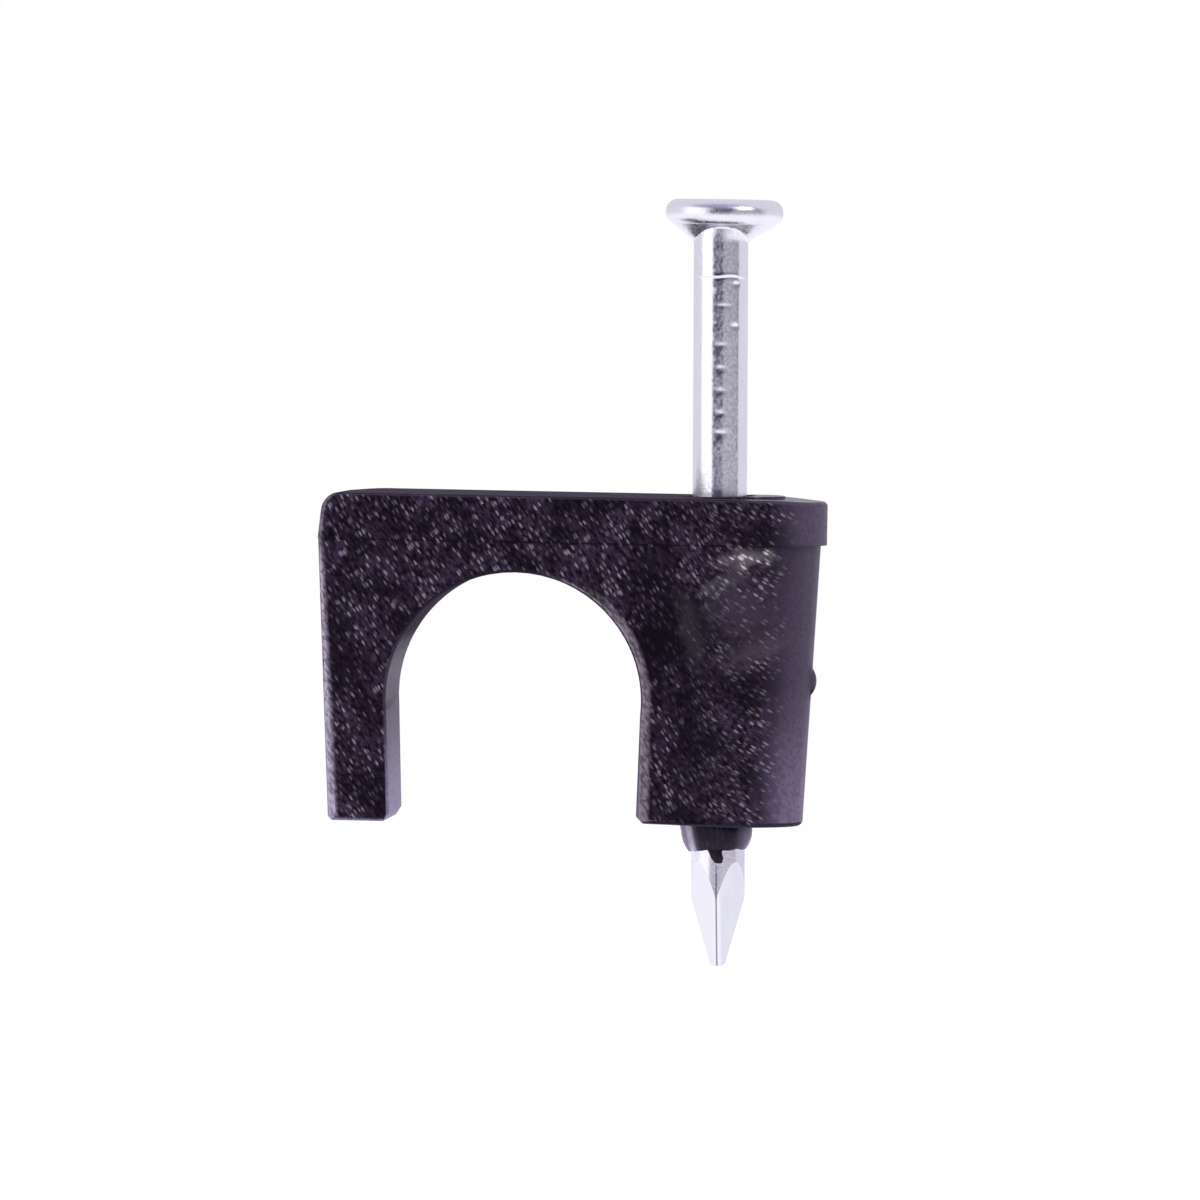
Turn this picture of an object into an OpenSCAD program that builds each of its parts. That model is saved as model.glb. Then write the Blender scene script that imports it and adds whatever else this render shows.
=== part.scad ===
// Nail-in cable clip for one round cable.
// A black moulded clip bridges the cable, and a plated steel nail through its boss fixes it to the wall.
// Millimetres. The origin is on the nail's axis at the wall, and Z points out of the wall to the nail's head.
// X points from the leg to the boss, and the clip is the same on both sides of Y = 0.

/* [Cable channel] */
// Width of the channel, which leaves a little room round a 7 mm cable
channel_w = 7.5; // [4:0.1:11]
// Height of the channel's round roof above the wall
channel_h = 7.3; // [5.5:0.1:12]
// Lean of the channel's sides towards each other at the mouth, in degrees
mouth_lean = 1.5; // [0:0.5:3]
// Width of the bevel round the channel's front and back edges
channel_edge = 0.16; // [0.06:0.02:0.3]
// Width of the bevel along the channel's mouth at the wall
mouth_edge = 0.22; // [0.06:0.02:0.3]

/* [Clip body] */
// Thickness of the leg at the wall
leg_t = 1.65; // [1:0.05:3]
// Thickness of plastic over the channel's roof
roof_t = 2.25; // [1.6:0.05:4]
// Thickness of plastic between the nail's hole and the channel
boss_wall = 1.25; // [0.7:0.05:2.5]
// Width of the cap from front to back
cap_w = 6.3; // [5:0.1:9]
// Thickness of the cap, down to the mould's parting line
cap_t = 1.35; // [1:0.05:1.5]
// How far the cap overhangs the body at the front and the back
cap_lip = 0.04; // [0.02:0.02:0.3]
// How far the cap overhangs the body's round end
end_lip = 0.18; // [0.04:0.02:0.4]
// How far the cap overhangs the leg
leg_lip = 0.02; // [0.02:0.02:0.3]
// Draft of the outer faces under the cap, in degrees
draft = 2.75; // [1:0.25:5]
// Radius of the leg's two upright corners at the wall
leg_foot_r = 0.35; // [0.2:0.05:0.6]
// Radius of the same corners at the parting line
leg_top_r = 0.15; // [0.1:0.05:0.3]
// Radius of the cap's top corner over the leg
cap_corner_r = 0.5; // [0.5:0.05:1]
// Radius of the cap's front, back and end edges
cap_edge_r = 0.16; // [0.1:0.02:0.24]
// Radius of the outer edges at the wall
foot_edge_r = 0.2; // [0.05:0.05:0.25]

/* [Nail] */
// Diameter of the nail's wire
nail_d = 1.6; // [1.2:0.05:2.2]
// Length of the nail from the top of its head to its tip
nail_l = 22.55; // [20:0.05:40]
// How far the tip stands out under the clip as supplied
nail_out = 4.25; // [2:0.05:8]
// Diameter of the nail's head
head_d = 3.45; // [2.8:0.05:5]
// Radius of the head's round edges
head_edge_r = 0.35; // [0.15:0.05:0.4]
// Height of the head's straight side between its round edges
head_band = 0.05; // [0.05:0.05:0.5]
// Slope of the two webs under the head, in degrees
web_slope = 35; // [15:1:45]
// Thickness of those webs
web_t = 1.1; // [0.6:0.05:1.4]
// Length of the four facets of the point
point_l = 3.1; // [2:0.1:5]
// Width of the blunt tip across its flats
tip_w = 0.32; // [0.1:0.02:0.6]

/* [Gripper marks] */
// Number of marks that the heading dies leave on the wire
grip_n = 8; // [1:1:12]
// Distance from one mark to the next
grip_pitch = 0.65; // [0.4:0.05:0.8]
// Distance from the head to the first mark
grip_start = 1.05; // [0.5:0.05:3]
// Depth of a mark
grip_depth = 0.03; // [0.01:0.01:0.1]

/* [Hole for the nail] */
// Clearance all round between the nail and its hole
nail_clear = 0.03; // [0.01:0.01:0.1]
// Width of the bevel that leads the nail into its hole
lead_in = 0.15; // [0.05:0.05:0.4]
// Thickness of the skin that the nail has pushed out under its hole
skin_t = 0.22; // [0.12:0.02:0.4]
// How far that skin stands out under the clip
skin_h = 0.85; // [0.6:0.05:1.2]
// Radius of the skin's rolled rim
skin_rim_r = 0.3; // [0.26:0.02:0.5]
// Number of small tears in the rim
tear_n = 5; // [3:1:7]
// How far the longest torn strip hangs below the skin
strip_l = 0.35; // [0.1:0.05:0.6]

// Radius of the plastic that the nail has heaved up round its hole
heave_r = 1.9; // [1.2:0.1:2.2]
// How far that plastic stands up on the side away from the leg
heave_h = 0.08; // [0.02:0.02:0.14]

/* [Gate mark] */
// Diameter of the mark where the plastic flowed in
gate_d = 0.8; // [0.4:0.1:1.4]
// How far the mark stands out from the boss
gate_h = 0.14; // [0.05:0.01:0.25]
// Height of the mark's middle above the wall
gate_z = 4.2; // [1.5:0.1:6]

/* [Hidden] */
$fn = 96;
// Cutters run past the faces they cut by this much
over = 1;
// Curves and faces that would only touch are made to cross by this much
meet = 0.01;
nail_r = nail_d / 2;
hole_r = nail_r + nail_clear;
channel_r = channel_w / 2;
channel_x = -(hole_r + boss_wall + channel_r);
channel_z = channel_h - channel_r;
clip_h = channel_h + roof_t;
part_z = clip_h - cap_t;
flare = tan(draft);
// Half width of the drafted body at the wall and its reach over the leg
foot_half = cap_w / 2 - cap_lip - part_z * flare;
foot_reach = -channel_x + channel_r + leg_t;
// The body's round end sits back from the cap's by the difference of their lips
end_x = cap_lip - end_lip;
cap_reach = foot_reach + part_z * flare + leg_lip;
head_r = head_d / 2;
// Middle of the head's lower round edge, where the webs leave that edge, and where they run out on the wire
head_low_c = [head_r - head_edge_r, nail_l - head_edge_r - head_band];
web_top = head_low_c + (head_edge_r - meet) * [sin(web_slope), -cos(web_slope)];
neck_z = web_top[1] - (web_top[0] - nail_r) * tan(web_slope);

plastic = [0.09, 0.08, 0.11];
zinc = [0.74, 0.75, 0.80];

// Upright half section of a drafted wall, from its middle out, with a round edge at the foot
module drafted_half(foot) {
    round_x = foot + foot_edge_r * (flare - 1) + meet;
    intersection() {
        polygon([[0, 0], [foot, 0], [foot + part_z * flare, part_z], [0, part_z]]);
        union() {
            square([round_x, part_z]);
            translate([0, foot_edge_r]) square([foot + part_z * flare + over, part_z]);
            translate([round_x, foot_edge_r]) circle(foot_edge_r);
        }
    }
}

// Rounds the leg's upright corner at the back with a cone that touches both drafted faces
module leg_corner_cut() {
    reach = leg_t + over;
    taper = (leg_foot_r - leg_top_r) / part_z;
    lean = atan(flare + taper);
    run = part_z + 2 * over;
    foot_r = leg_foot_r + meet + over * taper;
    translate([leg_foot_r - foot_reach, foot_half - leg_foot_r, 0]) rotate([-lean, -lean, 0])
        translate([0, 0, -over])
            difference() {
                translate([-reach, 0, 0]) cube([reach, reach, run]);
                translate([0, 0, -over]) cylinder(
                    h = run + 2 * over,
                    r1 = foot_r + over * taper,
                    r2 = foot_r - (run + over) * taper
                );
            }
}

// Body under the cap, with a half-round end and all its outer faces drafted
module drafted_body() {
    translate([end_x, 0, 0]) rotate(-90) rotate_extrude(angle = 180) drafted_half(foot_half);
    difference() {
        intersection() {
            translate([-cap_reach, 0, 0])
                rotate([90, 0, 90]) linear_extrude(cap_reach + end_x) {
                    drafted_half(foot_half);
                    mirror([1, 0]) drafted_half(foot_half);
                }
            translate([0, cap_w / 2, 0])
                rotate([90, 0, 0]) linear_extrude(cap_w) mirror([1, 0]) drafted_half(foot_reach);
        }
        for (side = [0, 1])
            mirror([0, side, 0]) leg_corner_cut();
    }
}

// Upright half section of the cap, from its middle out, with a round top edge
module cap_half() {
    half = cap_w / 2;
    translate([0, part_z]) {
        square([half - cap_edge_r, cap_t]);
        square([half, cap_t - cap_edge_r]);
        translate([half - cap_edge_r, cap_t - cap_edge_r]) circle(cap_edge_r);
    }
}

// Section through the cap's end over the leg, with round front and back edges
module cap_end() {
    half = cap_w / 2;
    translate([0, cap_edge_r - half]) square([cap_corner_r, cap_w - 2 * cap_edge_r]);
    translate([0, -half]) square([cap_corner_r - cap_edge_r, cap_w]);
    for (side = [-1, 1])
        translate([cap_corner_r - cap_edge_r, side * (half - cap_edge_r)]) circle(cap_edge_r);
}

// Cap above the parting line: a bar with a half-round end, rolled over at the leg
module cap() {
    bar_end = cap_corner_r - cap_reach;
    rotate(-90) rotate_extrude(angle = 180) cap_half();
    translate([bar_end, 0, 0])
        rotate([90, 0, 90]) linear_extrude(-bar_end) {
            cap_half();
            mirror([1, 0]) cap_half();
        }
    translate([bar_end, 0, clip_h - cap_corner_r])
        rotate([90, 0, 0]) rotate(90) rotate_extrude(angle = 90) cap_end();
    translate([bar_end, 0, part_z])
        linear_extrude(cap_t - cap_corner_r) mirror([1, 0]) cap_end();
}

// Outline of the channel about the middle of its round roof
module channel_outline() {
    mouth_half = (channel_r - meet - channel_z * sin(mouth_lean)) / cos(mouth_lean);
    circle(channel_r);
    for (side = [0, 1])
        mirror([side, 0]) {
            rotate(-mouth_lean)
                translate([0, -channel_z - over]) square([channel_r - meet, channel_z + over]);
            translate([0, -channel_z])
                polygon([
                    [0, mouth_edge],
                    [mouth_half, mouth_edge],
                    [mouth_half + mouth_edge + over, -over],
                    [0, -over]
                ]);
        }
}

// Bevel along the channel's edge on the drafted front face, square to that face
module channel_bevel() {
    wide = channel_r + channel_edge + over;
    narrow = channel_r - channel_edge;
    deep = over + 2 * channel_edge;
    translate([channel_x, -foot_half, 0]) rotate([draft, 0, 0])
        translate([0, -over, channel_z / cos(draft)]) {
            rotate([-90, 0, 0]) cylinder(h = deep, r1 = wide, r2 = narrow);
            for (side = [0, 1])
                mirror([side, 0, 0]) rotate([0, mouth_lean, 0])
                    translate([0, 0, -channel_z - over]) linear_extrude(channel_z + over)
                        polygon([[0, 0], [wide - meet, 0], [narrow - meet, deep], [0, deep]]);
        }
}

module channel() {
    translate([channel_x, cap_w / 2 + over, channel_z])
        rotate([90, 0, 0]) linear_extrude(cap_w + 2 * over) channel_outline();
    for (side = [0, 1])
        mirror([0, side, 0]) channel_bevel();
}

// Hole through the boss and the skin, with a bevel at the top
module nail_hole() {
    translate([0, 0, -skin_h - strip_l - over])
        cylinder(h = clip_h + skin_h + strip_l + 2 * over, r = hole_r);
    translate([0, 0, clip_h - lead_in])
        cylinder(h = lead_in + over, r1 = hole_r, r2 = hole_r + lead_in + over);
}

// Thin skin that closed the hole until the nail went through: a rolled collar, nicked and with one torn strip
module torn_skin() {
    root_r = hole_r + skin_t;
    rim_c = [root_r - skin_rim_r, skin_rim_r - skin_h];
    difference() {
        rotate_extrude()
            intersection() {
                union() {
                    translate([0, rim_c[1]]) square([root_r, over - rim_c[1]]);
                    translate([0, -skin_h]) square([rim_c[0], skin_h]);
                    translate(rim_c) circle(skin_rim_r);
                }
                translate([0, -skin_h]) square([root_r + over, skin_h + over]);
            }
        for (i = [0 : tear_n - 1])
            rotate(360 * i / tear_n + 25 * (i % 2)) translate([0, 0, -skin_h])
                rotate([0, 90, 0]) cylinder(h = root_r + over, r = (0.08 + 0.05 * (i % 3)) * skin_h);
    }
    rotate(-98) translate([0, 0, -skin_h - strip_l])
        rotate_extrude(angle = 20) square([hole_r + skin_t / 2, strip_l + skin_h / 2]);
}

// Plastic heaved up beside the nail: a low disc that tips out of the cap on the side away from the leg
module heaved_disc() {
    middle_h = 0.4 * heave_h;
    tip = asin((heave_h - middle_h) / heave_r);
    translate([0, 0, clip_h]) rotate([0, -tip, 0])
        translate([0, 0, middle_h - over / 2]) cylinder(h = over / 2, r = heave_r);
}

// Low dome left on the round end where the mould's gate was
module gate_mark() {
    dome_r = (gate_d * gate_d / 4 + gate_h * gate_h) / (2 * gate_h);
    translate([end_x + foot_half + gate_z * flare + gate_h - dome_r, 0, gate_z]) sphere(dome_r);
}

module clip_body() {
    color(plastic)
        difference() {
            union() {
                drafted_body();
                cap();
                heaved_disc();
                gate_mark();
                torn_skin();
            }
            channel();
            nail_hole();
        }
}

// Half section of the wire and its upset head, from the tip's plane up
module nail_half() {
    difference() {
        square([nail_r, nail_l - head_edge_r]);
        for (i = [0 : grip_n - 1])
            translate([nail_r - grip_depth, neck_z - grip_start - i * grip_pitch])
                polygon([[0, 0], [2 * grip_depth, -2 * grip_depth], [2 * grip_depth, 2 * grip_depth]]);
    }
    translate([0, head_low_c[1] - head_edge_r]) square([head_low_c[0], head_band + 2 * head_edge_r]);
    translate(head_low_c) square([head_edge_r, head_band]);
    for (rise = [0, head_band])
        translate(head_low_c + [0, rise]) circle(head_edge_r);
}

// Two webs of metal squeezed out between the heading dies, on the leg's side of the nail and the other
module head_webs() {
    intersection() {
        translate([-head_d, -web_t / 2, 0]) cube([2 * head_d, web_t, nail_l]);
        rotate_extrude()
            polygon([
                [0, neck_z],
                [nail_r, neck_z],
                web_top,
                [web_top[0], head_low_c[1]],
                [0, head_low_c[1]]
            ]);
    }
}

// Four planes cut the point, with their ridges to the front, the back and the sides
module point_cuts() {
    slope = atan((nail_r - tip_w / 2) / point_l);
    for (turn = [45 : 90 : 315])
        rotate(turn) translate([tip_w / 2, 0, 0]) rotate([0, slope, 0])
            translate([0, -nail_d, -over]) cube([nail_d, 2 * nail_d, point_l + 2 * over]);
}

module nail() {
    color(zinc)
        translate([0, 0, -nail_out])
            difference() {
                union() {
                    rotate_extrude() nail_half();
                    head_webs();
                }
                point_cuts();
            }
}

clip_body();
nail();
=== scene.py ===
import math

import bmesh
import bpy
from mathutils import Euler, Matrix, Vector


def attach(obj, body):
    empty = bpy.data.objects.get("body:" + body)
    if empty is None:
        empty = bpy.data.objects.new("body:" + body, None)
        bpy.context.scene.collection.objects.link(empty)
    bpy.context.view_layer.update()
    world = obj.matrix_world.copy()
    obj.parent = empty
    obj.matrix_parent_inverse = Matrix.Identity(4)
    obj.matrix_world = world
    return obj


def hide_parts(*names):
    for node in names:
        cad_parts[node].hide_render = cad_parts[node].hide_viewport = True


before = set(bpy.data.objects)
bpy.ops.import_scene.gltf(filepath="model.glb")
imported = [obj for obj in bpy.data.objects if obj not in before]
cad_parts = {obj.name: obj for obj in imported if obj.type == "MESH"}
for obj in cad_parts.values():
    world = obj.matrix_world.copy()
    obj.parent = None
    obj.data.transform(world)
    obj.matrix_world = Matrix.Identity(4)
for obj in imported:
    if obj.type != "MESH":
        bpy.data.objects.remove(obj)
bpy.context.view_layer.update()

# The camera stands well back behind a long lens, a little to the right of the clip and just above it.
# It is tipped by about one degree, as the clip stands in the photograph.
MM = 0.001
scene = bpy.context.scene
aim = Vector((-3.506, 0.0, 6.456)) * MM
camera_distance = 640 * MM
camera_azimuth = math.radians(3.6)
camera_height = math.radians(1.75)
camera_tip = math.radians(1.05)
view_width = 35.3 * MM
lens = bpy.data.cameras.new("camera")
lens.sensor_width = 36
lens.lens = lens.sensor_width * camera_distance / view_width
lens.clip_start = 0.05
lens.clip_end = 20
camera = bpy.data.objects.new("camera", lens)
to_camera = Vector((math.sin(camera_azimuth) * math.cos(camera_height),
                    -math.cos(camera_azimuth) * math.cos(camera_height),
                    math.sin(camera_height)))
camera.location = aim + to_camera * camera_distance
turn = (-to_camera).to_track_quat("-Z", "Y")
camera.rotation_euler = (turn @ Euler((0, 0, camera_tip)).to_quaternion()).to_euler()
scene.collection.objects.link(camera)
scene.camera = camera

# The clip is one injection moulding in black polyethylene: leg, arch, cap and boss.
# Its two flat sides carry the mould's spark-eroded grain, and the drawn walls came out smoother.
# The lips at the parting line and the gate's nub are left as the mould made them.
skin_root_z = -0.004 * MM
parting_z = 8.2 * MM
arch_x = -5.83 * MM
arch_z = 3.55 * MM
arch_r = 3.75 * MM
weld_distance = 0.001 * MM
flat_angle = math.radians(0.4)
# The cap's end leans in at the front and sags at the back, where it is cut across so that it can bend.
cap_w = 6.3 * MM
cap_end_x = -11.644 * MM
cap_end_run = 1.0 * MM
cap_end_lean = math.tan(math.radians(6))
cap_back_run = 1.6 * MM
cap_back_sag = 0.075
cap_back_cuts = (0.4, 0.5, 0.6, 0.7, 0.85, 1.0)
# The cap has sunk over the boss, and the feet of the boss and the leg have spread on the mould's floor.
cap_sink_x = 1.4 * MM
cap_sink_run = 1.6 * MM
cap_sink = 0.05
foot_bulge = 0.07 * MM
foot_bulge_h = 0.4 * MM
boss_left_x = -2.1 * MM
boss_run = 3.4 * MM
leg_drop = 0.08 * MM
leg_toe = 0.10 * MM
leg_toe_x = -10.1 * MM
leg_toe_run = 0.3 * MM
# The hole leans with the nail, and is long enough across for the nail at both ends of its travel.
askew = math.tan(math.radians(0.75))
hole_wall_r = 0.9 * MM
hole_rim_r = 1.045 * MM
hole_rim_z = 9.0 * MM
hole_mid_z = 3.2 * MM
hole_oval = 1.06


def smooth_step(t):
    t = min(1.0, max(0.0, t))
    return t * t * (3 - 2 * t)


def finish_piece(bm, name, material, body, crease):
    """Makes a mesh object of bm at the origin, smooth up to a crease in degrees, and rides it on its body."""
    for face in bm.faces:
        face.smooth = True
    for edge in bm.edges:
        if len(edge.link_faces) == 2 and edge.calc_face_angle() > math.radians(crease):
            edge.smooth = False
    mesh = bpy.data.meshes.new(name)
    bm.to_mesh(mesh)
    bm.free()
    mesh.materials.append(material)
    piece = bpy.data.objects.new(name, mesh)
    scene.collection.objects.link(piece)
    weighted = piece.modifiers.new("even_shading", "WEIGHTED_NORMAL")
    weighted.keep_sharp = True
    weighted.weight = 100
    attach(piece, body)
    return piece


class Nodes:
    """The node tree of a material or world, with short calls for the nodes that the finishes need."""

    def __init__(self, owner):
        owner.use_nodes = True
        self.owner = owner
        self.tree = owner.node_tree

    @property
    def coords(self):
        if "coords" not in self.tree.nodes:
            self.add("ShaderNodeTexCoord", name="coords")
        return self.tree.nodes["coords"].outputs

    def add(self, kind, *inputs, **settings):
        node = self.tree.nodes.new(kind)
        for key, value in settings.items():
            setattr(node, key, value)
        for place, value in inputs:
            self.feed(node.inputs[place], value)
        return node

    def feed(self, socket, value):
        if isinstance(value, bpy.types.NodeSocket):
            self.tree.links.new(value, socket)
        else:
            socket.default_value = value

    def stretched(self, size, turn=(0, 0, 0), origin=(0, 0, 0)):
        """Object coordinates in units of size, turned by so many degrees about each axis."""
        return self.add("ShaderNodeMapping", (0, self.coords["Object"]),
                        ("Location", origin), ("Rotation", [math.radians(a) for a in turn]),
                        ("Scale", size), vector_type="TEXTURE").outputs[0]

    def noise(self, where, detail=2.0, roughness=0.5, distortion=0.0):
        return self.add("ShaderNodeTexNoise", ("Vector", where), ("Scale", 1.0), ("Detail", detail),
                        ("Roughness", roughness), ("Distortion", distortion)).outputs["Fac"]

    def ramp(self, value, low, high, out_low=0.0, out_high=1.0):
        return self.add("ShaderNodeMapRange", (0, value), (1, low), (2, high),
                        (3, out_low), (4, out_high), interpolation_type="SMOOTHSTEP").outputs[0]

    def math(self, operation, a, b=0.0, c=1.0):
        return self.add("ShaderNodeMath", (0, a), (1, b), (2, c), operation=operation).outputs[0]

    def mix(self, factor, a, b):
        node = self.add("ShaderNodeMix", data_type="RGBA")
        self.feed(node.inputs[0], factor)
        self.feed(node.inputs[6], a)
        self.feed(node.inputs[7], b)
        return node.outputs[2]

    def bump(self, height, strength, distance, normal=None):
        node = self.add("ShaderNodeBump", ("Height", height), ("Strength", strength), ("Distance", distance))
        if normal is not None:
            self.feed(node.inputs["Normal"], normal)
        return node.outputs["Normal"]

    def set(self, **sockets):
        shader = self.tree.nodes["Principled BSDF"]
        for name, value in sockets.items():
            self.feed(shader.inputs[name.replace("_", " ")], value)
        return self.owner


def black_plastic(name):
    """Satin black polyethylene with a plum cast: grain with painted pale glints on the flat sides, fine
    elsewhere, and painted sheen, shade and highlights on the walls and corners.
    """
    n = Nodes(bpy.data.materials.new(name))
    face = n.add("ShaderNodeSeparateXYZ", (0, n.coords["Normal"])).outputs
    place = n.add("ShaderNodeSeparateXYZ", (0, n.coords["Object"])).outputs
    flat_side = n.ramp(n.math("ABSOLUTE", face[1]), 0.55, 0.90)
    upward = n.ramp(face[2], 0.6, 0.95)

    # Spark-eroded grain, its glints painted in as pale flecks: slanting on the leg and arch, lying flatter
    # towards the round end.
    grains = []
    for slant in (57, 34):
        cells = n.add("ShaderNodeTexVoronoi",
                      ("Vector", n.stretched((0.23 * MM, 1.5 * MM, 0.08 * MM), (0, slant, 0))),
                      ("Scale", 1.0), ("Randomness", 1.0))
        lit = n.ramp(cells.outputs["Distance"], 0.60, 0.10)
        chance = n.add("ShaderNodeSeparateColor", (0, cells.outputs["Color"])).outputs[0]
        grains.append(n.math("MULTIPLY", lit, n.ramp(chance, 0.36, 1.08)))
    boss_side = n.ramp(place[0], -1.2 * MM, 1.4 * MM)
    grain = n.add("ShaderNodeMix", (0, boss_side), (2, grains[0]), (3, grains[1])).outputs[0]
    blotch = n.noise(n.stretched((1.1 * MM, 1.1 * MM, 1.1 * MM)), detail=3.0)
    patches = n.ramp(blotch, 0.36, 0.62, 0.25, 1.0)

    # Flow marks spread from the gate: pale wisps on both sides of the boss. Under the parting line they also
    # carry a painted highlight, with brighter and denser painted glints.
    along_flow = n.stretched((0.4 * MM, 2.0 * MM, 0.3 * MM), (0, -20, 0))
    drift = n.add("ShaderNodeTexNoise", ("Vector", along_flow), ("Scale", 1.0),
                  ("Detail", 4.0)).outputs["Color"]
    stray = 1.8

    def wisp(x, z, wide, tall, slant):
        """A cloud with a torn border about a place on the side, in mm, with its slant in degrees."""
        where = n.stretched((wide * MM, 1.0, tall * MM), (0, slant, 0), (x * MM, 0, z * MM))
        strayed = n.add("ShaderNodeVectorMath", (0, drift), (1, (stray, 0, stray)), (2, where),
                        operation="MULTIPLY_ADD").outputs[0]
        off = n.add("ShaderNodeVectorMath", (0, strayed), (1, (stray / 2, 0, stray / 2)),
                    operation="DISTANCE").outputs["Value"]
        return n.ramp(off, 1.25, 0.25)

    for quiet, rest in ((wisp(-1.4, 5.4, 1.5, 2.3, 0), 0.22), (wisp(0.5, 4.2, 1.7, 0.8, 0), 0.4),
                        (wisp(-0.2, 1.8, 1.7, 1.3, 0), 0.65)):
        patches = n.math("MULTIPLY", patches, n.ramp(quiet, 0.0, 1.0, 1.0, rest))
    under_cap = n.ramp(place[2], parting_z + 0.04 * MM, parting_z - 0.08 * MM)
    lit_flow_front = n.math("MULTIPLY", wisp(0.95, 7.85, 0.85, 0.38, -8), under_cap)
    lit_flow_wisp = wisp(0.3, 7.15, 0.75, 0.30, -28)
    bright_edge = n.math("MAXIMUM", lit_flow_front, n.math("MULTIPLY", lit_flow_wisp, 0.5))
    haze = wisp(0.9, 6.2, 1.5, 1.1, 0)
    grain = n.math("MULTIPLY", grain, n.math("MAXIMUM", patches, bright_edge))
    glint = n.math("MULTIPLY", grain, flat_side)

    mottle = n.noise(n.stretched((0.22 * MM, 0.2 * MM, 0.085 * MM), (0, 52, 0)), detail=4.0)
    cloud = n.ramp(mottle, 0.32, 0.70)
    deep = n.mix(n.math("MULTIPLY", cloud, patches), (0.003, 0.001, 0.004, 1), (0.071, 0.046, 0.086, 1))
    hazy = n.mix(n.math("MULTIPLY", haze, 0.75), deep, (0.075, 0.058, 0.086, 1))
    for streak, share, tint in ((wisp(-0.70, 5.7, 0.35, 1.3, -14), 0.4, (0.080, 0.070, 0.085, 1)),
                                (wisp(1.4, 5.15, 1.5, 0.40, -18), 0.65, (0.110, 0.092, 0.112, 1)),
                                (lit_flow_wisp, 0.6, (0.125, 0.110, 0.125, 1)),
                                (lit_flow_front, 0.85, (0.19, 0.165, 0.18, 1))):
        hazy = n.mix(n.math("MULTIPLY", streak, share), hazy, tint)
    hazy = n.mix(n.math("MULTIPLY", upward, 0.5), hazy, (0.022, 0.017, 0.028, 1))
    # Painted shadow: a thin dark line under the lip at the parting line.
    lip_shadow = n.ramp(n.math("ABSOLUTE", n.math("SUBTRACT", place[2], parting_z)), 0.035 * MM, 0.012 * MM)
    hazy = n.mix(n.math("MULTIPLY", lip_shadow, 0.8), hazy, (0.004, 0.002, 0.006, 1))

    # Painted sheen: the drawn walls are painted pale, most of all low down. Painted shade keeps them dark
    # where they face down, high on the leg's inner wall under the arch, and on the cap's end that faces the
    # leg's way.
    wall = n.math("MULTIPLY", n.math("SUBTRACT", 1.0, flat_side), n.math("SUBTRACT", 1.0, upward))
    leg_wall = n.mix(n.ramp(place[2], 0.1 * MM, 3.6 * MM), (0.44, 0.38, 0.56, 1), (0.090, 0.071, 0.113, 1))
    boss_wall = n.mix(n.ramp(place[2], 0.1 * MM, 4.5 * MM), (0.25, 0.20, 0.305, 1), (0.088, 0.069, 0.109, 1))
    wall_sheen_shade = n.mix(n.ramp(place[0], -9.0 * MM, -8.0 * MM), leg_wall, boss_wall)
    on_cap = n.ramp(place[2], parting_z - 0.2 * MM, parting_z + 0.2 * MM)
    wall_sheen_shade = n.mix(on_cap, wall_sheen_shade, (0.122, 0.098, 0.150, 1))
    wall_sheen_shade = n.mix(n.ramp(cloud, 0.2, 0.9, 0.0, 0.4), wall_sheen_shade, (0.045, 0.034, 0.060, 1))
    shaded = n.math("MULTIPLY", n.ramp(face[2], -0.10, -0.55), n.ramp(place[0], -9.4 * MM, -9.0 * MM))
    cap_end = n.ramp(place[2], parting_z, parting_z + 1.0 * MM, 0.0, 0.5)
    shaded = n.math("ADD", shaded, n.math("MULTIPLY", n.ramp(face[0], -0.05, -0.3), cap_end))
    in_arch = n.math("MULTIPLY", n.ramp(place[0], -7.0 * MM, -8.2 * MM), n.ramp(face[0], 0.2, 0.6))
    shaded = n.math("MAXIMUM", shaded, n.math("MULTIPLY", in_arch, n.ramp(place[2], 4.2 * MM, 6.6 * MM)))
    wall_sheen_shade = n.mix(n.math("MULTIPLY", shaded, 0.85), wall_sheen_shade, (0.020, 0.015, 0.026, 1))
    walled = n.mix(n.math("MULTIPLY", wall, 0.9), hazy, wall_sheen_shade)

    # Painted highlight: the grain is painted pale on the corners that face the leg's way and in strips beside
    # them, where they catch the left soft box.
    turned = n.math("MULTIPLY", face[0], -1.0)
    corner = n.math("MULTIPLY", n.ramp(turned, 0.10, 0.45), n.ramp(n.math("ABSOLUTE", face[1]), 0.2, 0.6))
    leg_edge = n.math("MULTIPLY_ADD", place[2], 0.066, place[0])
    level = n.add("ShaderNodeVectorMath", (0, n.coords["Object"]), (1, (1, 0, 1)),
                  (2, (-arch_x, 0, -arch_z)), operation="MULTIPLY_ADD").outputs[0]
    over_arch = n.add("ShaderNodeVectorMath", (0, level), (1, (-1, 0, 0)), operation="MAXIMUM").outputs[0]
    from_arch = n.add("ShaderNodeVectorMath", (0, over_arch), operation="LENGTH").outputs["Value"]
    channel_edge = n.math("MULTIPLY", n.ramp(from_arch, arch_r + 0.35 * MM, arch_r + 0.17 * MM),
                          n.ramp(place[0], -4.0 * MM, -2.4 * MM, 0.0, 0.8))
    beside = n.math("ADD", n.ramp(leg_edge, -10.86 * MM, -11.10 * MM), channel_edge)
    corner = n.math("MAXIMUM", corner, n.math("MULTIPLY", beside, flat_side))
    corner = n.math("MULTIPLY", corner, n.ramp(cloud, 0.1, 0.8, 0.40, 1.0))
    low_down = n.ramp(place[2], parting_z + 0.1 * MM, parting_z - 1.2 * MM, 0.35, 1.0)
    corner = n.math("MULTIPLY", corner, low_down)
    pale = n.mix(n.ramp(place[0], -10.0 * MM, -8.0 * MM), (0.74, 0.65, 0.77, 1), (0.45, 0.38, 0.44, 1))
    edge_highlit = n.mix(corner, walled, pale)

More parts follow.
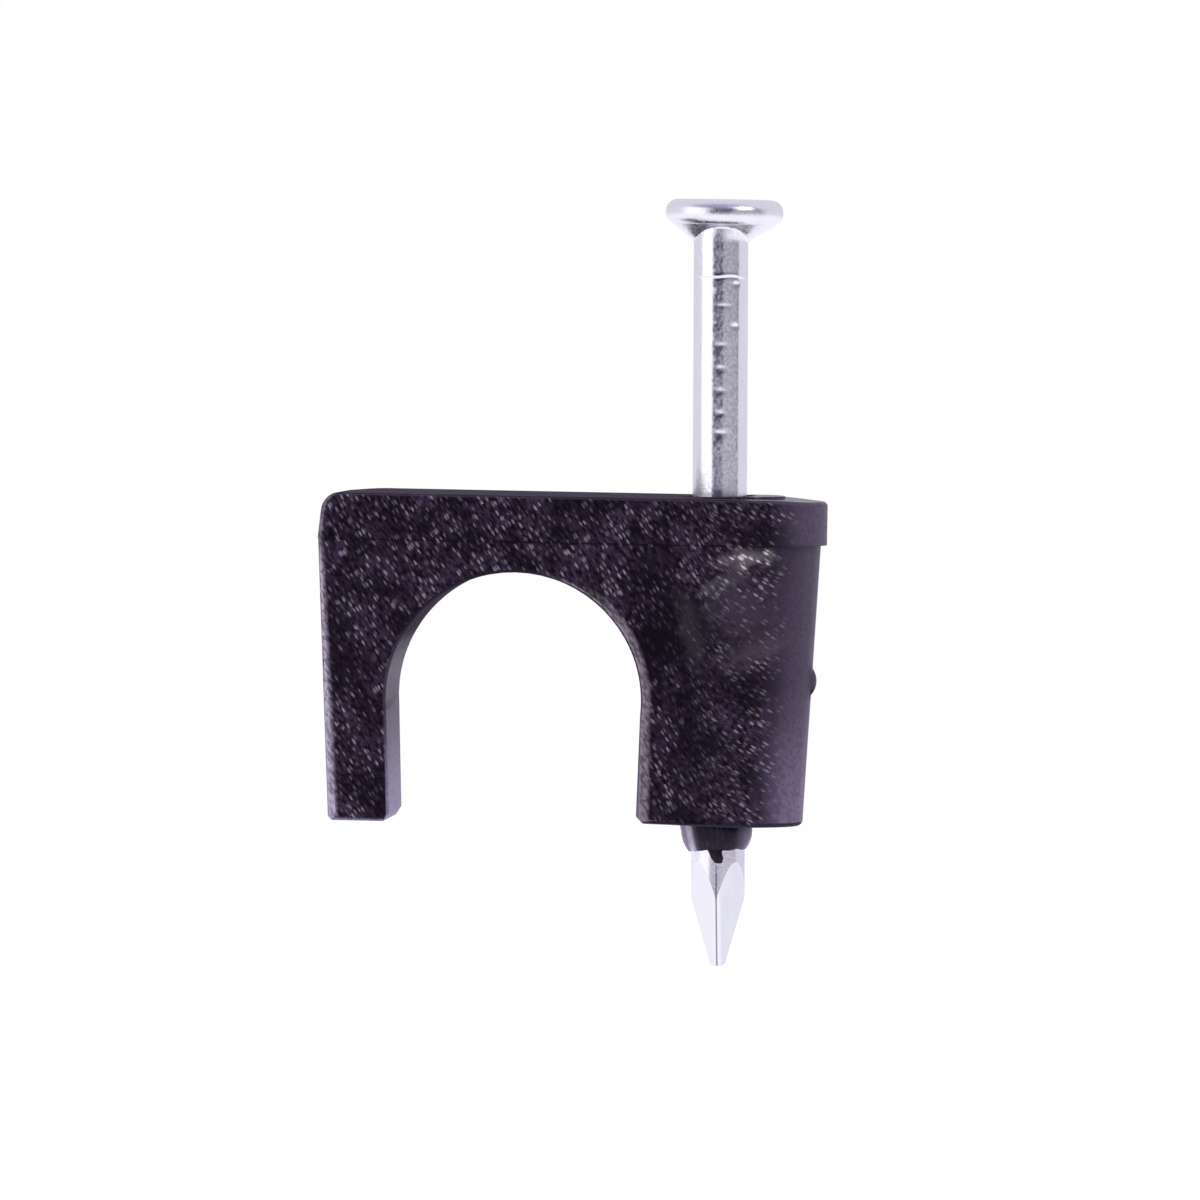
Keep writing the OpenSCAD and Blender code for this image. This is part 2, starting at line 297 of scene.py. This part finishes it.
    # Painted highlight: the grain's glints go into the colour as pale flecks, brighter and paler in the lit
    # flow under the parting line.
    painted_glints = n.math("MULTIPLY", glint, n.math("MULTIPLY_ADD", bright_edge, 2.4))
    glint_colour = n.mix(bright_edge, (0.50, 0.46, 0.52, 1), (0.90, 0.85, 0.85, 1))
    colour = n.mix(painted_glints, edge_highlit, glint_colour)

    fine = n.noise(n.stretched((0.05 * MM, 0.05 * MM, 0.05 * MM)), detail=2.0)
    # The top is worn dull by handling, except where the nail has heaved it up.
    worn = n.math("MULTIPLY", upward, n.ramp(place[0], 1.1 * MM, 0.6 * MM))
    satin = n.math("MULTIPLY_ADD", n.math("SUBTRACT", upward, worn), -0.2, n.ramp(fine, 0.3, 0.7, 0.40, 0.52))
    rough = n.math("MULTIPLY_ADD", n.math("MAXIMUM", worn, shaded), 0.5, satin)
    skin = n.bump(fine, 0.25, 0.012 * MM)
    return n.set(Base_Color=colour, Roughness=rough, IOR=1.45, Specular_IOR_Level=0.11,
                 Specular_Tint=(0.86, 0.72, 1.0, 1), Sheen_Weight=0.08, Sheen_Roughness=0.35,
                 Sheen_Tint=(0.85, 0.74, 1.0, 1), Normal=n.bump(glint, 0.6, 0.03 * MM, skin))


plastic = black_plastic("satin_black_plastic")
moulding = bmesh.new()
moulding.from_mesh(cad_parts["clip_body"].data)
bmesh.ops.remove_doubles(moulding, verts=moulding.verts, dist=weld_distance)
trimmed = bmesh.ops.bisect_plane(moulding, geom=moulding.verts[:] + moulding.edges[:] + moulding.faces[:],
                                 dist=weld_distance / 10, plane_co=(0, 0, skin_root_z), plane_no=(0, 0, -1),
                                 clear_outer=True)
bmesh.ops.bridge_loops(moulding, edges=[g for g in trimmed["geom_cut"] if isinstance(g, bmesh.types.BMEdge)])
bmesh.ops.recalc_face_normals(moulding, faces=moulding.faces)
bmesh.ops.dissolve_limit(moulding, angle_limit=flat_angle, verts=moulding.verts, edges=moulding.edges)
for share in cap_back_cuts:
    bmesh.ops.bisect_plane(moulding, geom=moulding.verts[:] + moulding.edges[:] + moulding.faces[:],
                           dist=weld_distance / 10, plane_co=(cap_end_x + cap_back_run * share, 0, 0),
                           plane_no=(1, 0, 0))
for v in moulding.verts:
    if v.co.xy.length < (hole_rim_r if v.co.z > hole_rim_z else hole_wall_r):
        v.co.x = v.co.x * hole_oval - askew * (v.co.z - hole_mid_z)
    elif v.co.z > parting_z:
        rise = v.co.z - parting_z
        v.co.z -= cap_sink * rise * smooth_step((v.co.x - cap_sink_x) / cap_sink_run)
        near_end = smooth_step((cap_end_x + cap_back_run - v.co.x) / cap_back_run)
        v.co.z -= cap_back_sag * rise * near_end * (0.5 + v.co.y / cap_w)
        lean = cap_end_lean * (0.5 - v.co.y / cap_w)
        v.co.x += lean * rise * smooth_step((cap_end_x + cap_end_run - v.co.x) / cap_end_run)
    elif v.co.z < foot_bulge_h:
        low = 1 - v.co.z / foot_bulge_h
        if v.co.x > boss_left_x - boss_run:
            v.co.z -= foot_bulge * low * smooth_step((v.co.x - boss_left_x) / boss_run)
        else:
            v.co.z -= leg_drop * low
            v.co.x += leg_toe * low * smooth_step((v.co.x - leg_toe_x) / leg_toe_run)
body = finish_piece(moulding, "moulded_body", plastic, "clip", 50)
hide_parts("clip_body")

# The skin under the hole is the thin floor of the moulding that the nail has pushed out and torn through.
# It is drawn in to the wire at its lower edge, with a ragged rim and one strand pulled down in front.
skin_turns = 72
skin_rim_z = -0.77 * MM
skin_shift = 0.06 * MM
skin_shift_h = 0.3 * MM
skin_side = [(1.04, 0.05), (1.06, -0.02), (1.06, -0.20), (1.05, -0.36), (1.02, -0.50), (0.98, -0.62),
             (0.93, -0.72), (0.885, -0.79), (0.855, -0.825), (0.84, -0.83), (0.83, -0.79), (0.83, 0.05)]
strand_facing = -1.52
strand_half = 0.24
strand_steps = [(0.80, (0.03, -0.02, -0.12)), (1.0, (0.05, 0.0, -0.13)), (0.60, (0.03, 0.01, -0.12))]


def ragged(angle):
    """How far the torn rim hangs down at an angle, as a share of the skin's reach."""
    return 0.99 - 0.045 * math.cos(angle) + 0.02 * math.sin(5 * angle + 2.1) + 0.015 * math.sin(11 * angle)


def torn_skin():
    bm = bmesh.new()
    points = [bm.verts.new((r * MM, 0, z * MM)) for r, z in skin_side]
    ring = [bm.edges.new(pair) for pair in zip(points, points[1:] + points[:1])]
    bmesh.ops.spin(bm, geom=points + ring, cent=(0, 0, 0), axis=(0, 0, 1), angle=2 * math.pi,
                   steps=skin_turns, use_merge=True)
    bmesh.ops.remove_doubles(bm, verts=bm.verts, dist=weld_distance)
    for v in bm.verts:
        if v.co.z < 0:
            v.co.z *= ragged(math.atan2(v.co.y, v.co.x))
            v.co.x += skin_shift * smooth_step(-v.co.z / skin_shift_h)
    bmesh.ops.recalc_face_normals(bm, faces=bm.faces)
    tip = []
    for face in bm.faces:
        middle = face.calc_center_median()
        if middle.z < skin_rim_z and abs(math.atan2(middle.y, middle.x) - strand_facing) < strand_half:
            tip.append(face)
    for share, pull in strand_steps:
        pulled = bmesh.ops.extrude_face_region(bm, geom=tip)
        bmesh.ops.delete(bm, geom=tip, context="FACES_ONLY")
        tip = [g for g in pulled["geom"] if isinstance(g, bmesh.types.BMFace)]
        corners = [g for g in pulled["geom"] if isinstance(g, bmesh.types.BMVert)]
        middle = sum((v.co for v in corners), Vector()) / len(corners)
        bmesh.ops.scale(bm, vec=(share, share, share), space=Matrix.Translation(-middle), verts=corners)
        bmesh.ops.translate(bm, verts=corners, vec=Vector(pull) * MM)
    bmesh.ops.recalc_face_normals(bm, faces=bm.faces)
    return bm


def stretched_plastic(name):
    """The same plastic drawn thin: near black, with stress lines down it and painted highlights beside the
    wire.
    """
    n = Nodes(bpy.data.materials.new(name))
    place = n.add("ShaderNodeSeparateXYZ", (0, n.coords["Object"])).outputs
    lines = n.noise(n.stretched((0.09 * MM, 0.09 * MM, 0.5 * MM)), detail=3.0)
    dark = n.mix(n.ramp(place[2], -0.1 * MM, -0.6 * MM), (0.002, 0.003, 0.016, 1), (0.022, 0.016, 0.026, 1))
    dark = n.mix(n.ramp(lines, 0.45, 0.75, 0.0, 0.5), dark, (0.070, 0.060, 0.080, 1))
    slanted = n.math("MULTIPLY_ADD", place[2], 0.22, place[0])
    # Painted highlights: pale at the left and right of the skin, with a bright strip on the left.
    lit_skin = n.mix(n.ramp(slanted, -0.45 * MM, -0.95 * MM, 0.0, 0.9), dark, (0.36, 0.31, 0.40, 1))
    lit_skin = n.mix(n.ramp(place[0], 0.60 * MM, 1.0 * MM, 0.0, 0.7), lit_skin, (0.30, 0.27, 0.36, 1))
    highlight_strip = n.math("MULTIPLY", n.ramp(slanted, -0.62 * MM, -0.76 * MM),
                  n.ramp(slanted, -0.93 * MM, -0.80 * MM))
    lit_skin = n.mix(n.math("MULTIPLY", highlight_strip, n.ramp(lines, 0.3, 0.6, 0.6, 1.0)), lit_skin, (0.85, 0.80, 0.94, 1))
    return n.set(Base_Color=lit_skin, Roughness=n.ramp(lines, 0.3, 0.7, 0.18, 0.32), IOR=1.45,
                 Specular_IOR_Level=0.2, Specular_Tint=(0.9, 0.84, 1.0, 1),
                 Normal=n.bump(lines, 0.35, 0.03 * MM))


finish_piece(torn_skin(), "torn_skin", stretched_plastic("torn_glossy_plastic"), "clip", 28)

# The nail is cold-headed from drawn steel wire and zinc plated bright.
# The heading dies bit a row of marks under its head and squeezed out a web of metal at each side of the neck.
# Four pinched cuts make the diamond point. It was pushed into the clip a little askew.
wire_r = 0.8 * MM
head_r = 1.725 * MM
head_edge_r = 0.35 * MM
head_band = 0.05 * MM
head_top = 18.30 * MM
web_slope = math.radians(35)
head_steps = 10
web_steps = 6
web_rows = 16
web_front = 0.20
web_blend = 0.015 * MM
head_shift = 0.10 * MM
askew_z = 7.0 * MM
tip_z = -4.25 * MM
point_l = 3.1 * MM
tip_half = 0.16 * MM
ridge_w = 0.025 * MM
tip_round = 0.11 * MM
nail_turns = 128
grip_pitch = 0.66 * MM
grip_first = 13.86 * MM
lip_z, lip_depth, lip_h = 16.02, 0.012, 0.04
# Each dent: height, angle round the wire, depth and half height in mm, half width in radians
dents = [(15.82, -0.90, 0.017, 0.08, 0.14), (15.60, -1.84, 0.006, 0.13, 0.16),
         (15.18, -1.42, 0.006, 0.06, 0.26), (14.58, -0.95, 0.017, 0.07, 0.13),
         (14.66, -1.95, 0.004, 0.06, 0.25), (14.02, -1.50, 0.006, 0.07, 0.22),
         (13.33, -1.50, 0.007, 0.09, 0.18), (12.68, -1.51, 0.007, 0.08, 0.16),
         (12.02, -1.51, 0.007, 0.08, 0.15), (11.43, -1.50, 0.008, 0.09, 0.22)]


def bite(z, angle):
    """How far the heading dies push the wire's face in at a height and angle, on its two sides."""
    z /= MM
    push = 0.0
    for side in (0, math.pi):
        off = (angle + 1.4 - side + math.pi) % (2 * math.pi) - math.pi
        wave = lip_z + 0.02 * math.sin(5 * off) - 0.05 * off * off
        rise = (z - wave) / lip_h
        ledge = math.exp(-rise * rise) - math.exp(-(rise - 1.8) ** 2)
        push += lip_depth * math.exp(-(off / 0.9) ** 4) * ledge
        for top, facing, depth, half_h, half_w in dents:
            off = (angle - facing - side + math.pi) % (2 * math.pi) - math.pi
            push += depth * math.exp(-((z - top) / half_h) ** 2 - (off / half_w) ** 2)
    return push * MM


def wire_nail():
    bm = bmesh.new()
    edge_x, edge_z = head_r - head_edge_r, head_top - head_edge_r
    rim = [(edge_x + head_edge_r * math.sin(a), edge_z + head_edge_r * math.cos(a))
           for a in [math.radians(90) * k / head_steps for k in range(head_steps + 1)]]
    rim += [(edge_x + head_edge_r * math.cos(a), edge_z - head_band - head_edge_r * math.sin(a))
            for a in [(math.radians(90) - web_slope) * k / web_steps for k in range(web_steps + 1)]]
    top = [(0, head_top), (0.5 * MM, head_top), (1.0 * MM, head_top)]
    web_r, web_z = rim[-1]
    neck_z = web_z - (web_r - wire_r) * math.tan(web_slope)
    web = [(wire_r + (web_r - wire_r) * k / web_rows, neck_z + (web_z - neck_z) * k / web_rows)
           for k in range(web_rows - 1, 0, -1)]
    fine_top, fine_foot, fine_step = 16.6 * MM, 11.0 * MM, 0.03 * MM
    rows = [neck_z - 0.05 * MM, neck_z - 0.20 * MM]
    rows += [fine_top - k * fine_step for k in range(round((fine_top - fine_foot) / fine_step) + 1)]
    rows += [9.0 * MM, 6.0 * MM, 3.0 * MM, 0.0, -1.0 * MM, -2.0 * MM, -3.0 * MM, -4.0 * MM, tip_z]
    side = top + rim + web + [(wire_r, z) for z in rows] + [(0, tip_z)]
    points = [bm.verts.new((r, 0, z)) for r, z in side]
    line = [bm.edges.new(pair) for pair in zip(points, points[1:])]
    bmesh.ops.spin(bm, geom=points + line, cent=(0, 0, 0), axis=(0, 0, 1), angle=2 * math.pi,
                   steps=nail_turns, use_merge=True)
    bmesh.ops.remove_doubles(bm, verts=bm.verts, dist=weld_distance)
    for v in bm.verts:
        angle, r = math.atan2(v.co.y, v.co.x), v.co.xy.length
        if fine_foot <= v.co.z <= fine_top:
            v.co.xy *= 1 - bite(v.co.z, angle) / wire_r
        elif neck_z < v.co.z < web_z - weld_distance:
            spread = web_front + (1 - web_front) * abs(math.cos(angle)) ** 3
            past = r - wire_r - (web_r - wire_r) * (1 - spread)
            v.co.xy *= (wire_r + (past + math.hypot(past, web_blend)) / 2) / r
        if v.co.z > neck_z:
            v.co.x += head_shift * smooth_step((v.co.z - neck_z) / (web_z - neck_z))
    slope = math.atan2(wire_r - tip_half, point_l)
    facings = []
    for k in range(4):
        corner = Matrix.Rotation(math.radians(45 + 90 * k), 3, "Z")
        facing = corner @ Vector((math.cos(slope), 0, -math.sin(slope)))
        sliced = bmesh.ops.bisect_plane(bm, geom=bm.verts[:] + bm.edges[:] + bm.faces[:],
                                        dist=weld_distance / 10, plane_no=facing, clear_outer=True,
                                        plane_co=corner @ Vector((tip_half, 0, tip_z)))
        border = [g for g in sliced["geom_cut"] if isinstance(g, bmesh.types.BMEdge)]
        bmesh.ops.contextual_create(bm, geom=border)
        facings.append(facing)
    bmesh.ops.remove_doubles(bm, verts=bm.verts, dist=weld_distance)
    bmesh.ops.recalc_face_normals(bm, faces=bm.faces)
    blunt = [face for face in bm.faces if face.normal.z < -0.999]
    tip = bmesh.ops.dissolve_faces(bm, faces=blunt, use_verts=True)["region"]
    bmesh.ops.bevel(bm, geom=tip[0].edges[:], offset=tip_round, offset_type="OFFSET", affect="EDGES",
                    segments=4, profile=0.5, material=-1)

    def on_facet(face):
        return any(face.normal.dot(facing) > 0.9999 for facing in facings)

    ridges = [e for e in bm.edges if all(on_facet(face) for face in e.link_faces)
              and e.link_faces[0].normal.dot(e.link_faces[1].normal) < 0.9]
    bmesh.ops.bevel(bm, geom=ridges, offset=ridge_w, offset_type="OFFSET", affect="EDGES",
                    segments=1, profile=0.5, material=-1)
    bm.normal_update()
    for edge in bm.edges:
        if any(on_facet(face) for face in edge.link_faces):
            edge.smooth = False
    for v in bm.verts:
        v.co.x -= askew * (v.co.z - askew_z)
    return bm


def zinc_plate(name):
    """Bright zinc on drawn wire: faint draw lines along the wire, cloudy brightness and a few small pits."""
    n = Nodes(bpy.data.materials.new(name))
    draw = n.noise(n.stretched((0.03 * MM, 0.03 * MM, 2.0 * MM)), detail=3.0)
    cloud = n.noise(n.stretched((0.5 * MM, 0.5 * MM, 0.8 * MM)), detail=4.0)
    mottle = n.noise(n.stretched((0.07 * MM, 0.07 * MM, 0.10 * MM)), detail=2.0)
    pits = n.ramp(n.noise(n.stretched((0.09 * MM, 0.09 * MM, 0.09 * MM)), detail=1.0), 0.76, 0.82)
    place = n.add("ShaderNodeSeparateXYZ", (0, n.coords["Object"])).outputs
    face = n.add("ShaderNodeSeparateXYZ", (0, n.coords["Normal"])).outputs
    across = n.math("SUBTRACT", n.math("MULTIPLY_ADD", place[2], askew, place[0]), askew * askew_z)
    colour = n.mix(cloud, (0.79, 0.80, 0.84, 1), (0.88, 0.885, 0.91, 1))
    colour = n.mix(n.math("MULTIPLY", pits, 0.7), colour, (0.24, 0.21, 0.28, 1))

    # The gripper marks are painted darker in spots along each row.
    row = n.math("FRACT", n.math("MULTIPLY_ADD", place[2], 1 / grip_pitch, 0.5 - grip_first / grip_pitch))
    spot = n.add("ShaderNodeCombineXYZ", (0, n.math("MULTIPLY_ADD", across, 1 / grip_pitch, 0.1)),
                 (2, n.math("SUBTRACT", row, 0.5))).outputs[0]
    off_spot = n.add("ShaderNodeVectorMath", (0, spot), operation="LENGTH").outputs["Value"]
    mark = n.ramp(n.math("MULTIPLY_ADD", mottle, 0.25, off_spot), 0.38, 0.16)
    mark = n.math("MULTIPLY", mark, n.math("MULTIPLY", n.ramp(place[2], 10.9 * MM, 11.1 * MM),
                                           n.ramp(place[2], 15.4 * MM, 13.9 * MM)))
    mark = n.math("MULTIPLY", mark, n.ramp(cloud, 0.35, 0.55, 0.45, 1.0))
    colour = n.mix(n.math("MULTIPLY", mark, 0.75), colour, (0.33, 0.27, 0.36, 1))

    # The cuts of the point are duller than the wire, with painted shade on the cuts that face right and a
    # painted dark reflection along each ridge.
    cut = n.math("MULTIPLY", n.ramp(face[2], -0.08, -0.15), n.ramp(place[2], -0.8 * MM, -1.0 * MM))
    off_ridge = n.math("ABSOLUTE", across)
    dull = n.math("MULTIPLY", cut, n.ramp(off_ridge, 0.08 * MM, 0.16 * MM))
    lit_facet_tone = n.mix(n.ramp(face[0], -0.2, 0.2), (0.82, 0.82, 0.84, 1), (0.70, 0.71, 0.75, 1))
    colour = n.mix(n.math("MULTIPLY", dull, n.ramp(cloud, 0.3, 0.7, 0.7, 1.0)), colour, lit_facet_tone)
    # Painted shade on the wire just under the torn skin.
    shade_under_skin = n.math("MULTIPLY", n.ramp(place[2], -0.5 * MM, -0.9 * MM),
                        n.ramp(across, -0.28 * MM, -0.18 * MM))
    shade_under_skin = n.math("MULTIPLY", shade_under_skin, n.math("SUBTRACT", 1.0, cut))
    colour = n.mix(n.math("MULTIPLY", shade_under_skin, 0.55), colour, (0.60, 0.57, 0.64, 1))
    # Painted reflection: a dark line along each ridge, below the skin.
    line = n.math("MULTIPLY", n.ramp(off_ridge, 0.035 * MM, 0.010 * MM),
                  n.ramp(place[2], -1.0 * MM, -1.6 * MM, 0.0, 0.85))
    colour = n.mix(line, colour, (0.20, 0.17, 0.22, 1))

    head_dull = n.ramp(place[2], 16.9 * MM, 17.5 * MM, 0.0, 0.12)
    rough = n.math("ADD", n.ramp(mottle, 0.3, 0.7, 0.14, 0.26), head_dull)
    relief = n.bump(mottle, 0.12, 0.012 * MM, n.bump(cloud, 0.05, 0.05 * MM))
    return n.set(Base_Color=colour, Metallic=1.0, Roughness=rough,
                 Normal=n.bump(draw, 0.12, 0.004 * MM, relief))


nail = finish_piece(wire_nail(), "wire_nail", zinc_plate("bright_zinc"), "nail", 28)
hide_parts("nail")

# The floor is a plain white sheet just below where the driven nail's point would come.
# It is white to the camera and in reflections, and still takes the clip's soft shadow.
floor_z = -12.6 * MM
floor_r = 0.3
floor_mesh = bmesh.new()
bmesh.ops.create_circle(floor_mesh, cap_ends=True, cap_tris=False, segments=96, radius=floor_r)
bmesh.ops.translate(floor_mesh, verts=floor_mesh.verts, vec=(0, 0, floor_z))
sheet = bpy.data.meshes.new("floor")
floor_mesh.to_mesh(sheet)
floor_mesh.free()
floor = bpy.data.objects.new("floor", sheet)
scene.collection.objects.link(floor)
paper = Nodes(bpy.data.materials.new("white_paper"))
floor.data.materials.append(paper.set(Base_Color=(0.85, 0.85, 0.86, 1), Roughness=0.9,
                                      Specular_IOR_Level=0.0))
rays = paper.add("ShaderNodeLightPath").outputs
seen = paper.math("MULTIPLY", rays["Is Camera Ray"], 0.75)
shown = paper.math("MULTIPLY_ADD", rays["Is Glossy Ray"], 0.45, seen)
glow = paper.add("ShaderNodeEmission", ("Strength", shown)).outputs[0]
matt = paper.tree.nodes["Principled BSDF"].outputs[0]
sheet_light = paper.add("ShaderNodeAddShader", (0, matt), (1, glow)).outputs[0]
paper.feed(paper.tree.nodes["Material Output"].inputs["Surface"], sheet_light)

# Studio light: a white sweep round the back, a tall soft box at the left and a smaller one high at the right.
# The room behind the camera is dim under a paler ceiling, so that the bright wire shows a dark stripe.
air = Nodes(bpy.data.worlds.new("studio"))
scene.world = air.owner
sweep = air.tree.nodes["Background"]
air.feed(sweep.inputs["Color"], (0.92, 0.88, 1.0, 1))
air.feed(sweep.inputs["Strength"], 0.85)
towards = air.add("ShaderNodeSeparateXYZ", (0, air.coords["Generated"])).outputs
ceiling = air.ramp(towards[2], 0.40, 0.90, 0.0, 0.50)
dim = air.math("ADD", air.ramp(towards[2], 0.0, 0.25, 0.15, 0.05), ceiling)
shade = air.mix(ceiling, (0.62, 0.47, 1.0, 1), (0.90, 0.87, 1.0, 1))
room = air.add("ShaderNodeBackground", ("Color", shade), ("Strength", dim)).outputs[0]
backdrop = air.add("ShaderNodeBackground", ("Color", (1, 1, 1, 1)), ("Strength", 1.0)).outputs[0]
at_back = air.ramp(towards[1], -0.16, -0.06)
round_about = air.add("ShaderNodeMixShader", (0, at_back), (1, room), (2, sweep.outputs[0])).outputs[0]
to_lens = air.add("ShaderNodeLightPath").outputs["Is Camera Ray"]
studio = air.add("ShaderNodeMixShader", (0, to_lens), (1, round_about), (2, backdrop)).outputs[0]
air.feed(air.tree.nodes["World Output"].inputs["Surface"], studio)


def soft_box(name, azimuth, height, distance, width, tall, radiance):
    """An area lamp at an azimuth and height in degrees as seen from the clip, facing it."""
    lamp = bpy.data.lights.new(name, "AREA")
    lamp.shape = "RECTANGLE"
    lamp.size, lamp.size_y = width, tall
    lamp.energy = radiance * math.pi * width * tall
    stand = bpy.data.objects.new(name, lamp)
    a, e = math.radians(azimuth), math.radians(height)
    out = Vector((math.sin(a) * math.cos(e), -math.cos(a) * math.cos(e), math.sin(e)))
    stand.location = aim + out * distance
    stand.rotation_euler = out.to_track_quat("Z", "Y").to_euler()
    stand.visible_camera = False
    scene.collection.objects.link(stand)


soft_box("left_soft_box", azimuth=-57, height=8, distance=1.0, width=1.0, tall=1.2, radiance=1.25)
soft_box("right_soft_box", azimuth=48, height=38, distance=0.9, width=0.36, tall=0.36, radiance=4.0)
soft_box("right_card", azimuth=46, height=-2, distance=1.2, width=1.55, tall=0.9, radiance=0.27)

scene.view_settings.view_transform = "Standard"
